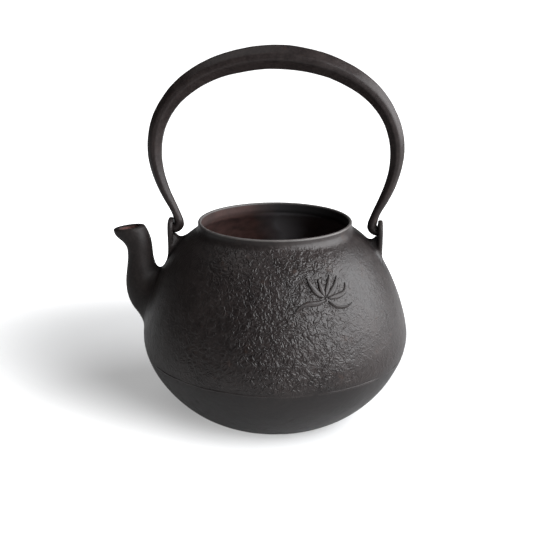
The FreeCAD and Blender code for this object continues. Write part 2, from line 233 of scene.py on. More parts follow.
def spout_local(p):
    """For points near the spout: in-plane offset, radii and distance past the lip."""
    x, z = p[:, 0], p[:, 2]
    best = np.full(len(p), 1e9)
    tt = np.zeros(len(p))
    for k in range(len(ST) - 1):
        a, b = ST[k, :2], ST[k + 1, :2]
        d = b - a
        t = np.clip(((x - a[0]) * d[0] + (z - a[1]) * d[1]) / (d @ d), 0, 1)
        e = (x - a[0] - t * d[0]) ** 2 + (z - a[1] - t * d[1]) ** 2
        m = e < best
        best[m] = e[m]
        tt[m] = k + t[m]
    idx = np.arange(len(ST))
    cols = [np.interp(tt, idx, ST[:, c]) for c in range(7)]
    lean = np.radians(cols[2])
    u = (x - cols[0]) * np.cos(lean) + (z - cols[1]) * np.sin(lean)
    side = np.sqrt(best) * np.sign(u)
    end = math.radians(ST[-1, 2])
    past = (x - ST[-1, 0]) * (-math.sin(end)) + (z - ST[-1, 1]) * math.cos(end)
    return side, cols, past


def ellipse_sd(u, v, a, b):
    k0 = np.sqrt((u / a) ** 2 + (v / b) ** 2)
    k1 = np.sqrt((u / a ** 2) ** 2 + (v / b ** 2) ** 2) + 1e-9
    return np.where(k0 > 1e-3, k0 * (k0 - 1) / k1, -np.minimum(a, b))


def spout_fields(p):
    u, c, past = spout_local(p)
    y = p[:, 1]
    outer = ellipse_sd(u, y, c[3], c[4])
    bore = ellipse_sd(u, y, c[5], c[6])
    return outer, bore, past


# ----------------------------------------------------------------------------
# Lugs: flat ears that flare into the shoulder
# ----------------------------------------------------------------------------
def _lug_outline():
    a = np.linspace(0, math.pi, 33)
    top = np.c_[LUG_R * np.cos(a), PIVOT_Z + LUG_R * np.sin(a)]
    low = []
    for s in (-1, 1):
        t = np.linspace(0, 1, 12)
        w = LUG_R + 5.1 * t ** 1.7
        z = 121 - 17 * t
        seg = np.c_[s * w, z]
        low.append(seg if s < 0 else seg[::-1])
    return np.vstack([top, low[0], low[1]])


LUG_LOOP = _lug_outline()


def poly_sd(y, z, loop):
    best = np.full(len(y), 1e9)
    inside = np.zeros(len(y), bool)
    for k in range(len(loop)):
        a, b = loop[k], loop[(k + 1) % len(loop)]
        d = b - a
        ll = d @ d
        if ll < 1e-12:
            continue
        t = np.clip(((y - a[0]) * d[0] + (z - a[1]) * d[1]) / ll, 0, 1)
        best = np.minimum(best, (y - a[0] - t * d[0]) ** 2 + (z - a[1] - t * d[1]) ** 2)
        if a[1] != b[1]:
            cr = (a[1] > z) != (b[1] > z)
            inside ^= cr & (y < a[0] + (z - a[1]) / (b[1] - a[1]) * (b[0] - a[0]))
    d = np.sqrt(best)
    return np.where(inside, -d, d)


def lug_sd(p):
    """Either lug, by symmetry in x."""
    x = np.abs(p[:, 0])
    d2 = poly_sd(p[:, 1], p[:, 2], LUG_LOOP)
    mid, half, rnd = (LUG_X0 + LUG_X1) / 2, (LUG_X1 - LUG_X0) / 2, 1.25
    w = np.abs(x - mid) - (half - rnd)
    d2 = d2 + rnd
    return np.hypot(np.maximum(d2, 0), np.maximum(w, 0)) + np.minimum(np.maximum(d2, w), 0) - rnd


def k_lug(p):
    """Fillet size at a lug's root: tight outside, a web on the inner side under the pivot."""
    inside = 1 - sstep(68.5, 72.5, np.abs(p[:, 0]))
    return 2.6 + inside * (3.2 + 7.0 * (1 - sstep(2.5, 7.5, np.abs(p[:, 1]))))


def lug_hole(p):
    return np.hypot(p[:, 1], p[:, 2] - PIVOT_Z) - LUG_HOLE


K_SPOUT = 8.0


# ----------------------------------------------------------------------------
# Cast skin: wrinkles between the seam and the collar, smoother elsewhere
# ----------------------------------------------------------------------------
def skin(p, near_spout, near_lug):
    """Height of the cast surface in mm and how wrinkled it is (0..1)."""
    z = p[:, 2]
    band = sstep(46.5, 53, z + 1.6 * gnoise(p, 14, 3.1)) * (1 - sstep(128.0, 134.0, z + 1.3 * gnoise(p, 9, 15.1)))
    fade = sstep(1.5, 9, near_spout) * sstep(1.5, 10, near_lug)
    az = np.degrees(np.arctan2(p[:, 1], p[:, 0]))
    turn = (az + 88 + 180) % 360 - 180
    turn = turn - 180 * np.round(turn / 180)
    m = band * fade * (0.78 + 0.3 * gnoise(p, 38, 9.7)) * (0.22 + 0.85 * np.exp(-(turn / 36) ** 4))
    q = p + 1.5 * np.c_[gnoise(p, 9, 1.3), gnoise(p, 9, 5.9), gnoise(p, 9, 8.2)]
    a = 1 - 2.4 * np.abs(gnoise(q, 6.2, 2.2))
    b = 1 - 2.4 * np.abs(gnoise(q, 4.7, 6.6))
    wr = 0.6 * a + 0.4 * b - 0.25
    broad = gnoise(p, 26, 4.4) * 0.16 + gnoise(p, 9.5, 7.7) * 0.05
    pits = -0.22 * sstep(0.52, 0.72, gnoise(p, 5.0, 12.5)) * (1 - 0.6 * band)
    return broad * sstep(1, 7, np.abs(z - 137)) + 0.40 * m * wr + pits * sstep(1.5, 6, np.abs(z - 137)) * 0.8, m


def make_mesh(name, verts, faces, attrs=None):
    me = bpy.data.meshes.new(name)
    me.from_pydata([tuple(v) for v in (np.asarray(verts) * MM).tolist()], [], faces)
    me.validate()
    me.update()
    for key, val in (attrs or {}).items():
        at_ = me.attributes.new(key, "FLOAT", "POINT")
        at_.data.foreach_set("value", np.asarray(val, np.float32))
    me.shade_smooth()
    ob = bpy.data.objects.new(name, me)
    bpy.context.scene.collection.objects.link(ob)
    return ob


# ----------------------------------------------------------------------------
# The pot: rings stitched from the middle of the base, over the lip, to the floor
# ----------------------------------------------------------------------------
def ring_rows():
    rows = []  # (r, z, nr, nz, ring size, kind) kind: 0 base, 1 outside, 2 lip, 3 inside
    for r, n in ((13, 58), (27, 174), (38, 174), (43.5, 522)):
        rows.append((r, 0.0, 0.0, -1.0, n, 0))
    s_lip = np.interp(133.2, OUT[:, 1], OUT_S)
    body = np.linspace(0, s_lip, 144)
    rest = np.linspace(s_lip, OUT_S[-1], 11)[1:]
    for s in np.r_[body, rest]:
        p, n = at(OUT, OUT_S, [s])
        rows.append((p[0, 0], p[0, 1], n[0, 0], n[0, 1], 522, 1 if s <= s_lip else 2))
    s_tr = np.interp(-131.5, -INN[:, 1], INN_S)
    for s in np.linspace(0, s_tr, 10):
        p, n = at(INN, INN_S, [s])
        rows.append((p[0, 0], p[0, 1], n[0, 0], n[0, 1], 522, 2))
    for s in np.linspace(s_tr, INN_S[-1], 56)[1:]:
        p, n = at(INN, INN_S, [s])
        rows.append((p[0, 0], p[0, 1], n[0, 0], n[0, 1], 174, 3))
    for r, n in ((34, 174), (20, 58), (8, 58)):
        rows.append((r, 3.192, 0.0, 1.0, n, 3))
    return rows


def build_pot():
    rows = ring_rows()
    verts, nrm, kind, start = [], [], [], []
    verts.append(np.array([[0, 0, 0.0]]))
    nrm.append(np.array([[0, 0, -1.0]]))
    kind.append(np.array([0]))
    total = 1
    for r, z, nr, nz, n, kd in rows:
        a = np.arange(n) * 2 * math.pi / n
        c, s = np.cos(a), np.sin(a)
        verts.append(np.c_[r * c, r * s, np.full(n, z)])
        nrm.append(np.c_[nr * c, nr * s, np.full(n, nz)])
        kind.append(np.full(n, kd))
        start.append(total)
        total += n
    verts.append(np.array([[0, 0, 3.192]]))
    nrm.append(np.array([[0, 0, 1.0]]))
    kind.append(np.array([3]))
    v, nn, kd = np.vstack(verts), np.vstack(nrm), np.concatenate(kind)
    faces = []
    n0 = rows[0][4]
    for i in range(n0):
        faces.append((0, start[0] + (i + 1) % n0, start[0] + i))
    for k in range(len(rows) - 1):
        a, b, na, nb = start[k], start[k + 1], rows[k][4], rows[k + 1][4]
        if na == nb:
            for i in range(na):
                j = (i + 1) % na
                faces.append((a + i, a + j, b + j, b + i))
        elif nb == 3 * na:
            for i in range(na):
                j = (i + 1) % na
                faces.append((a + i, a + j, b + (3 * i + 3) % nb, b + 3 * i + 2, b + 3 * i + 1, b + 3 * i))
        else:
            for i in range(nb):
                j = (i + 1) % nb
                faces.append((a + 3 * i, a + 3 * i + 1, a + 3 * i + 2, a + (3 * i + 3) % na, b + j, b + i))
    n1, last = rows[-1][4], start[-1]
    for i in range(n1):
        faces.append((last + i, last + (i + 1) % n1, total))

    # outside: rise to meet the fillets of the spout and the lugs, then the cast skin
    near_s = np.full(len(v), 99.0)
    near_l = np.full(len(v), 99.0)
    out = (kd == 1)
    zone = out & (v[:, 0] < -50) & (np.abs(v[:, 1]) < 34) & (v[:, 2] > 44)
    near_s[zone] = spout_fields(v[zone])[0]
    lz = out & (np.abs(v[:, 0]) > 54) & (np.abs(v[:, 1]) < 26) & (v[:, 2] > 96)
    near_l[lz] = lug_sd(v[lz])
    base, grain = skin(v, near_s, near_l)
    hgt = np.where(out, base, 0.0)
    close = out & ((near_s < K_SPOUT + 2) | (near_l < 15))
    p0, n0_ = v[close], nn[close]
    s = np.zeros(len(p0))
    for _ in range(10):
        p = p0 + n0_ * s[:, None]
        f = hull_sd(p)
        f = smin(f, spout_fields(p)[0], K_SPOUT)
        f = smin(f, lug_sd(p), k_lug(p))
        s = np.clip(s - f * 0.9, 0, 2.2)
    s = np.minimum(s - 0.12 * sstep(0.5, 1.7, s), 2.0)
    up = np.zeros(len(v))
    up[close] = s
    inside = kd == 3
    hgt = np.where(inside, 0.16 * gnoise(v, 17, 21.3) + 0.07 * gnoise(v, 6, 30.1), hgt)
    hgt = np.where(kd == 2, 0.03 * gnoise(v, 12, 2.9), hgt)
    hgt = np.where((kd == 0) | ((kd == 1) & (v[:, 2] < 0.4)), 0.0, hgt)
    pos = v + nn * (hgt + up)[:, None]
    pos[:, 2] = np.maximum(pos[:, 2], 0.0)
    return pos, faces, grain * out, hgt


# ----------------------------------------------------------------------------
# Surface nets over a small block of space, for the spout and the lugs
# ----------------------------------------------------------------------------
def surface_net(field, lo, hi, h):
    n = [int(math.ceil((hi[i] - lo[i]) / h)) + 1 for i in range(3)]
    ax = [lo[i] + h * np.arange(n[i]) for i in range(3)]
    g = np.stack(np.meshgrid(*ax, indexing="ij"), -1).reshape(-1, 3)
    val = np.concatenate([field(g[k:k + 200000]) for k in range(0, len(g), 200000)]).reshape(n)
    neg = val < 0
    cs = np.zeros([m - 1 for m in n] + [3])
    cc = np.zeros([m - 1 for m in n])
    idx = np.stack(np.meshgrid(*[np.arange(m) for m in n], indexing="ij"), -1).astype(float)
    for axis in range(3):
        sl0 = [slice(None)] * 3
        sl1 = [slice(None)] * 3
        sl0[axis], sl1[axis] = slice(0, -1), slice(1, None)
        a, b = val[tuple(sl0)], val[tuple(sl1)]
        cut = (a < 0) != (b < 0)
        t = np.where(cut, a / np.where(cut, a - b, 1), 0)
        pt = idx[tuple(sl0)].copy()
        pt[..., axis] += t
        o1, o2 = [q for q in range(3) if q != axis]
        m = [q - 1 for q in n]
        for d1 in (0, 1):
            for d2 in (0, 1):
                s = [slice(None)] * 3
                s[o1] = slice(d1, d1 + m[o1])
                s[o2] = slice(d2, d2 + m[o2])
                cu = cut[tuple(s)]
                cs += pt[tuple(s)] * cu[..., None]
                cc += cu
    used = cc > 0
    ids = np.full(cc.shape, -1)
    ids[used] = np.arange(used.sum())
    v = np.array(lo) + h * cs[used] / cc[used][:, None]
    faces = []
    for axis in range(3):
        sl0 = [slice(1, -1)] * 3
        sl1 = [slice(1, -1)] * 3
        sl0[axis], sl1[axis] = slice(0, -1), slice(1, None)
        a, b = neg[tuple(sl0)], neg[tuple(sl1)]
        o1, o2 = [(1, 2), (2, 0), (0, 1)][axis]
        w = np.argwhere(a != b)
        flip = a[tuple(w.T)]
        base = w.copy()
        for q in range(3):
            if q != axis:
                base[:, q] += 1
        quad = []
        for d1, d2 in ((1, 1), (0, 1), (0, 0), (1, 0)):
            c = base.copy()
            c[:, o1] -= d1
            c[:, o2] -= d2
            quad.append(ids[tuple(c.T)])
        q = np.stack(quad, 1)
        q[~flip] = q[~flip][:, ::-1]
        faces.append(q)
    f = np.vstack(faces)
    return v, f


def grad(field, p, e=0.12):
    g = np.zeros_like(p)
    for a in range(3):
        d = np.zeros(3)
        d[a] = e
        g[:, a] = field(p + d) - field(p - d)
    return g / (2 * e)


def snap(field, v, rounds=3, cap=0.5):
    for _ in range(rounds):
        g = grad(field, v)
        gg = np.maximum((g * g).sum(1), 0.15)
        step = -(field(v) / gg)[:, None] * g
        ln = np.linalg.norm(step, axis=1, keepdims=True)
        v = v + step * np.minimum(1, cap / np.maximum(ln, 1e-9))
    return v


def relax(v, faces, field, rounds=4):
    """Evens the net out along the surface."""
    e = np.vstack([faces[:, [0, 1]], faces[:, [1, 2]], faces[:, [2, 3]], faces[:, [3, 0]]])
    for _ in range(rounds):
        acc = np.zeros_like(v)
        cnt = np.zeros(len(v))
        for a, b in ((0, 1), (1, 0)):
            np.add.at(acc, e[:, a], v[e[:, b]])
            np.add.at(cnt, e[:, a], 1)
        mean = np.where(cnt[:, None] > 0, acc / np.maximum(cnt, 1)[:, None], v)
        g = grad(field, v)
        g /= np.maximum(np.linalg.norm(g, axis=1, keepdims=True), 1e-6)
        d = mean - v
        d -= (d * g).sum(1)[:, None] * g
        v = v + 0.5 * d
    return snap(field, v, 1)


def spout_field(p):
    outer, bore, past = spout_fields(p)
    hs = hull_sd(p)
    cap = smax(outer, past - 0.35, 1.0)
    blend = smin(hs, cap, K_SPOUT) + 0.12 * (1 - sstep(0.4, 1.6, hs))
    skirt = np.maximum(np.maximum(blend, -(hs + 1.1)), outer - 11)
    liner = np.maximum(np.maximum(bore - 1.6, -cavity_sd(p) + 0.05), hs - 0.6)
    return smax(np.minimum(skirt, liner), -bore, 1.1)


def lug_field(p):
    d = lug_sd(p)
    hs = hull_sd(p)
    blend = smin(hs, d, k_lug(p)) + 0.12 * (1 - sstep(0.4, 1.6, hs))
    skirt = np.maximum(np.maximum(blend, -(hs + 1.1)), d - 9)
    return smax(skirt, -lug_hole(p), 0.9)


def build_spout():
    v, f = surface_net(spout_field, (-117, -30.6, 44), (-62, 30.6, 136), 0.85)
    v = relax(snap(spout_field, v), f, spout_field, 3)
    outer, bore, past = spout_fields(v)
    g = grad(spout_field, v)
    g /= np.maximum(np.linalg.norm(g, axis=1, keepdims=True), 1e-6)
    hs = hull_sd(v)
    hull_like = 1 - sstep(2, 12, hs)
    base, grain = skin(v, np.where(hs < 1.5, outer, 0.5), np.full(len(v), 99.0))
    own = 0.16 * gnoise(v, 12, 40.2) + 0.07 * gnoise(v, 4.2, 44.1)
    on_out = sstep(0.4, 1.6, bore)
    hgt = (base * hull_like + own * (1 - hull_like)) * on_out * sstep(0.4, 2.5, np.abs(past)) + 0.10 * gnoise(v, 3.4, 50.7) * (1 - on_out)
    v = v + g * hgt[:, None]
    rust = (1 - sstep(-0.2, 0.5, bore)) * sstep(0.3, 1.3, np.abs(past))
    return v, f, rust, hgt


def build_lug(sign):
    lo, hi = (56, -25, 92.5), (82, 25, 139.5)
    v, f = surface_net(lug_field, lo, hi, 0.62)
    v = relax(snap(lug_field, v), f, lug_field, 3)
    hs = hull_sd(v)
    g = grad(lug_field, v)
    g /= np.maximum(np.linalg.norm(g, axis=1, keepdims=True), 1e-6)
    hull_like = 1 - sstep(2, 9, hs)
    at_hole = sstep(0.1, 1.4, np.abs(lug_hole(v)))
    if sign < 0:
        v = v * np.array([-1, 1, 1.0])
        g = g * np.array([-1, 1, 1.0])
        f = f[:, ::-1]
    base, _ = skin(v, np.full(len(v), 99.0), np.where(hs < 1.5, lug_sd(v), 0.5))
    own = 0.10 * gnoise(v, 7, 60.2 + sign) + 0.05 * gnoise(v, 3.0, 64.9)
    hgt = (base * hull_like + np.minimum(own, 0.12) * (1 - hull_like)) * at_hole
    v = v + g * hgt[:, None]
    return v, f, hgt


# ----------------------------------------------------------------------------
# The bail: one swept bar with hooked, pinned feet
# ----------------------------------------------------------------------------
def build_bail():
    half = np.array(BAIL, float)
    left = half[1:][::-1].copy()
    left[:, 0] *= -1
    left[:, 2] *= -1
    st = np.vstack([left, half])
    ln = np.r_[0, np.cumsum(np.hypot(*np.diff(st[:, :2], axis=0).T))]
    fine = np.linspace(0, ln[-1], 470)
    c = spline(ln, st[:, [0, 1, 3, 4]], fine)
    tan = np.gradient(c[:, :2], axis=0)
    tan /= np.linalg.norm(tan, axis=1, keepdims=True)
    rows = [(c[i, 0], c[i, 1], tan[i, 0], tan[i, 1], c[i, 2], c[i, 3]) for i in range(len(c))]

    def foot(sign):
        out = []
        cx, cz, rr = 69.85, PIVOT_Z + 3.6, 3.6
        for k in range(1, 13):
            a = math.pi + k / 12 * math.pi / 2
            out.append((sign * (cx + rr * math.cos(a)), cz + rr * math.sin(a),
                        sign * -math.sin(a), math.cos(a), 3.55 - 0.022 * k, 3.5 - 0.02 * k))
        for x in (70.3, 70.9, 71.6, 72.3, 72.9, 73.25):
            rad = 3.2 if x < 72.6 else (3.0 if x < 73.1 else 2.6)
            out.append((sign * x, PIVOT_Z, sign * 1.0, 0.0, rad, rad))
        return out

    right = foot(1)
    lft = [(x, z, -tx, -tz, a, b) for x, z, tx, tz, a, b in foot(-1)][::-1]
    rows = lft + rows + right
    m = 72
    th = np.arange(m) * 2 * math.pi / m
    verts, key = [], []
    for i, (x, z, tx, tz, a, b) in enumerate(rows):
        n = np.array([-tz, tx])  # upper, outer side of the bar
        # gently squared oval with a soft keel on the outer side and along the front
        cu, su = np.cos(th), np.sin(th)
        w = min(1.0, max(0.0, (z - 143) / 30))
        crown = sstep(205, 236, np.array([z]))[0]
        lim = []
        for deg, far in ((90, 1.0), (46, 0.90 + 0.03 * (1 - crown)), (5 + 3 * crown, 0.985), (-38, 0.905 + 0.02 * (1 - crown)), (-90, 1.0),
                         (180 - 46, 0.90 + 0.03 * (1 - crown)), (180 - 5 - 3 * crown, 0.985), (180 + 38, 0.905 + 0.02 * (1 - crown))):
            lim.append(np.maximum(np.cos(th - math.radians(deg)), 0) / far)
        facet = np.sum(np.stack(lim) ** 26, 0) ** (-1 / 26)
        keel = 1 + w * (facet / facet[m // 4] - 1)
        off_n, off_y = a * su * keel, -b * cu * keel
        verts.append(np.c_[x + n[0] * off_n, off_y, z + n[1] * off_n])
        key.append(np.c_[np.full(m, n[0]) * su, -cu, np.full(m, n[1]) * su])
    v = np.vstack(verts)
    g = np.vstack(key)
    k = len(rows)
    zz = v[:, 2]
    w = sstep(142, 158, zz)
    hgt = w * (0.24 * gnoise(v, 21, 70.3) + 0.10 * gnoise(v, 8.5, 75.8) + 0.04 * gnoise(v, 3.2, 77.1)
               - 0.12 * sstep(0.5, 0.75, gnoise(v, 6.1, 79.9)))
    hgt += (1 - w) * sstep(0, 4, 70 - np.abs(v[:, 0])) * 0.07 * gnoise(v, 4.0, 72.4)
    v = v + g * hgt[:, None]
    faces = []
    for i in range(k - 1):
        a, b = i * m, (i + 1) * m
        for j in range(m):
            q = (j + 1) % m
            faces.append((a + j, a + q, b + q, b + j))
    caps = []
    for r, flip in ((0, False), (k - 1, True)):
        ctr = v[r * m:(r + 1) * m].mean(0)
        x_out = 0.22 * (1 if flip else -1)
        v = np.vstack([v, ctr + np.array([x_out, 0, 0])])
        g = np.vstack([g, [0, 0, 0]])
        hgt = np.r_[hgt, 0]
        ci = len(v) - 1
        for j in range(m):
            q = (j + 1) % m
            caps.append((r * m + j, r * m + q, ci) if flip else (r * m + q, r * m + j, ci))
    return v, faces + caps, hgt


# ----------------------------------------------------------------------------
# Relief on the wall: positions are (arc to the side, distance up the profile)
# ----------------------------------------------------------------------------
LEAF_AZ = -62.4      # azimuth of the sprig's joint


def on_wall(side, up, lift, origin_s, origin_az):
    s = origin_s + np.asarray(up, float)
    p, n = at(OUT, OUT_S, s)
    az = math.radians(origin_az) + np.asarray(side, float) / ((p[:, 0] + RJ) / 2)
    c, sn = np.cos(az), np.sin(az)
    pos = np.c_[p[:, 0] * c, p[:, 0] * sn, p[:, 1]]
    nn = np.c_[n[:, 0] * c, n[:, 0] * sn, n[:, 1]]
    sk, _ = skin(pos, np.full(len(pos), 99.0), np.full(len(pos), 99.0))
    return pos + nn * (np.asarray(lift) + sk * 0.3)[:, None]


LEAF_S = float(np.interp(104.5, OUT[:, 1], OUT_S))
RJ = float(np.interp(104.5, OUT[:, 1], OUT[:, 0]))


def blade(spine, wide, high, rib=0.0, lean=0.0, root=0.12, nl=44, nw=15):
    """One closed blade: spine points from the root to the tip, half width, height."""
    sp = np.array(spine, float)
    ln = np.r_[0, np.cumsum(np.hypot(*np.diff(sp, axis=0).T))]
    t = np.linspace(0, 1, nl)
    c = spline(ln, sp, t * ln[-1])
    tg = np.gradient(c, axis=0)
    tg /= np.linalg.norm(tg, axis=1, keepdims=True)
    nv = np.c_[-tg[:, 1], tg[:, 0]]
    w = wide * (root + (1 - root) * np.sin(np.pi * np.clip(t, 0, 1) ** 0.75) ** 0.8)
    w = w * (1 - sstep(0.9, 1.0, t) * 0.75)
    w = np.maximum(w, 0.22)
    taper = np.minimum(1, 0.45 + 1.2 * np.sin(np.pi * np.clip(t, 0.02, 0.98)) ** 0.6)
    u = np.linspace(-1, 1, nw)
    top, low = [], []
    for i in range(nl):
        side = c[i, 0] + nv[i, 0] * u * w[i]
        up = c[i, 1] + nv[i, 1] * u * w[i]
        hh = high * taper[i] * ((1 - np.abs(u) ** 2.6) ** 0.6 * (1 + lean * u)) + rib * np.exp(-(u / 0.16) ** 2) * np.sin(np.pi * t[i])
        top.append(on_wall(side, up, hh - 0.05, LEAF_S, LEAF_AZ))
        low.append(on_wall(side, up, np.full(nw, -0.8), LEAF_S, LEAF_AZ))
    tp, lw = np.vstack(top), np.vstack(low)
    v = np.vstack([tp, lw])
    n = nl * nw
    f = []
    for i in range(nl - 1):
        for j in range(nw - 1):
            a = i * nw + j
            f.append((a, a + 1, a + nw + 1, a + nw))
            f.append((n + a, n + a + nw, n + a + nw + 1, n + a + 1))
    for i in range(nl - 1):
        a, b = i * nw, (i + 1) * nw
        f.append((a, b, n + b, n + a))
        a, b = i * nw + nw - 1, (i + 1) * nw + nw - 1
        f.append((b, a, n + a, n + b))
    for j in range(nw - 1):
        f.append((j + 1, j, n + j, n + j + 1))
        a = (nl - 1) * nw + j
        f.append((a, a + 1, n + a + 1, n + a))
    # the side/up plane is mirrored against the outward normal for this winding
    return v, [q[::-1] for q in f]


def build_sprig():
    blades = [
        (((-0.9, 1.2), (-4.9, 4.2), (-7.6, 8.2), (-10.2, 14.6)), 2.1, 0.95, 0.18, 0.25),
        (((-0.5, 1.6), (-1.4, 5.0), (-2.0, 8.8), (-2.6, 13.0)), 1.85, 0.95, 0.18, 0.25),
        (((0.0, 1.6), (2.1, 5.4), (4.4, 9.9), (6.3, 14.8)), 1.85, 0.95, 0.18, 0.25),
        (((0.8, 1.0), (5.2, 3.9), (9.3, 8.4), (11.6, 13.4)), 2.1, 0.95, 0.18, 0.25),
        (((1.6, 0.2), (8.5, 0.7), (14.4, 2.6), (16.6, 8.0)), 1.8, 0.85, 0.14, 0.0),
        (((-0.6, -0.6), (-5.5, -2.0), (-12.3, -2.2), (-17.6, -3.8), (-21.0, -6.6)), 1.8, 0.9, 0.16, -0.25),
        (((1.2, -1.4), (4.7, -4.9), (10.2, -6.9), (15.0, -6.7), (18.0, -5.4)), 1.25, 1.0, 0.0, 0.5),
    ]
    vs, fs, k = [], [], 0
    for spine, w, h, rib, lean in blades:
        v, f = blade(spine, w, h, rib, lean)
        vs.append(v)
        fs += [tuple(i + k for i in q) for q in f]
        k += len(v)
    # the little knot where the leaves meet
    a = np.linspace(0, 2 * math.pi, 17)[:-1]
    ring, knot = [], []
    for rr, hh in ((1.1, -0.8), (1.1, 0.1), (0.85, 0.5), (0.5, 0.7)):
        knot.append(on_wall(rr * np.cos(a), rr * np.sin(a), np.full(16, hh), LEAF_S, LEAF_AZ))
    knot.append(on_wall([0.0], [0.0], [0.78], LEAF_S, LEAF_AZ))
    knot.append(on_wall([0.0], [0.0], [-0.8], LEAF_S, LEAF_AZ))
    v = np.vstack(knot)
    f = []
    for r in range(3):
        for j in range(16):
            q = (j + 1) % 16
            f.append((r * 16 + j, r * 16 + q, (r + 1) * 16 + q, (r + 1) * 16 + j))
    for j in range(16):
        q = (j + 1) % 16
        f.append((48 + j, 48 + q, 64))
        f.append((q, j, 65))
    vs.append(v)
    fs += [tuple(i + k for i in q) for q in f]
    return np.vstack(vs), fs


def build_seam():
    """A fine irregular ridge where the two halves of the mould met."""
    n, m = 1080, 8
    az = np.arange(n) * 2 * math.pi / n
    z0 = 47.2 + 1.0 * np.cos(az - math.radians(-150)) * 0.9
    s = np.interp(z0, OUT[:, 1], OUT_S)
    p, nr = at(OUT, OUT_S, s)
    c, sn = np.cos(az), np.sin(az)
    pos = np.c_[p[:, 0] * c, p[:, 0] * sn, p[:, 1]]
    nn = np.c_[nr[:, 0] * c, nr[:, 0] * sn, nr[:, 1]]
    up = np.c_[-nn[:, 2] * c, -nn[:, 2] * sn, np.hypot(nn[:, 0], nn[:, 1])]
    near = np.full(n, 99.0)
    sk, _ = skin(pos, near, near)
    wob = 0.30 * gnoise(pos, 7, 90.1) + 0.35 * gnoise(pos, 24, 95.2)
    hi = 0.30 * np.clip(0.50 + 1.5 * gnoise(pos, 19, 91.7) + 0.45 * gnoise(pos, 4, 93.3), 0.0, 1.5) - 0.02
    vs = []
    for j in range(m):
        a = 2 * math.pi * j / m
        vs.append(pos + up * (wob + 0.75 * math.cos(a))[:, None] + nn * (np.minimum(sk, 0.25) - 0.12 + np.where(math.sin(a) > 0, hi + 0.12, 0.4) * math.sin(a))[:, None])
    v = np.stack(vs, 1).reshape(-1, 3)
    f = []
    for i in range(n):
        q = (i + 1) % n
        for j in range(m):
            w = (j + 1) % m
            f.append((i * m + j, q * m + j, q * m + w, i * m + w))
    return v, f


# ----------------------------------------------------------------------------
# Cast iron material
# ----------------------------------------------------------------------------
def node(nt, kind, at_=(0, 0), **kw):
    n = nt.nodes.new(kind)
    n.location = at_
    for k, v in kw.items():
        if k.startswith("in_"):
            n.inputs[k[3:].replace("_", " ")].default_value = v
        else:
            setattr(n, k, v)
    return n


def ramp(nt, fac, stops, at_=(0, 0)):
    r = nt.nodes.new("ShaderNodeValToRGB")
    r.location = at_
    el = r.color_ramp.elements
    while len(el) > 1:
        el.remove(el[-1])
    el[0].position, el[0].color = stops[0][0], (*stops[0][1], 1)
    for pos, col in stops[1:]:
        e = el.new(pos)
        e.color = (*col, 1)
    nt.links.new(fac, r.inputs[0])
    return r.outputs[0]


def mathn(nt, op, a, b=None, clamp=False):
    n = nt.nodes.new("ShaderNodeMath")
    n.operation = op
    n.use_clamp = clamp
    for i, v in enumerate((a, b)):
        if v is None:
            continue
        if isinstance(v, (int, float)):
            n.inputs[i].default_value = v
        else:
            nt.links.new(v, n.inputs[i])
    return n.outputs[0]


def mix(nt, fac, a, b):
    n = nt.nodes.new("ShaderNodeMix")
    n.data_type = "RGBA"
    for sock, v in ((n.inputs[0], fac), (n.inputs[6], a), (n.inputs[7], b)):
        if isinstance(v, (int, float)):
            sock.default_value = v
        elif isinstance(v, tuple):
            sock.default_value = (*v, 1)
        else:
            nt.links.new(v, sock)
    return n.outputs[2]


def noise(nt, co, scale, detail=3.0, rough=0.55, distort=0.0):
    n = nt.nodes.new("ShaderNodeTexNoise")
    n.inputs["Scale"].default_value = scale
    n.inputs["Detail"].default_value = detail
    n.inputs["Roughness"].default_value = rough
    n.inputs["Distortion"].default_value = distort
    nt.links.new(co, n.inputs["Vector"])
    return n.outputs[0]


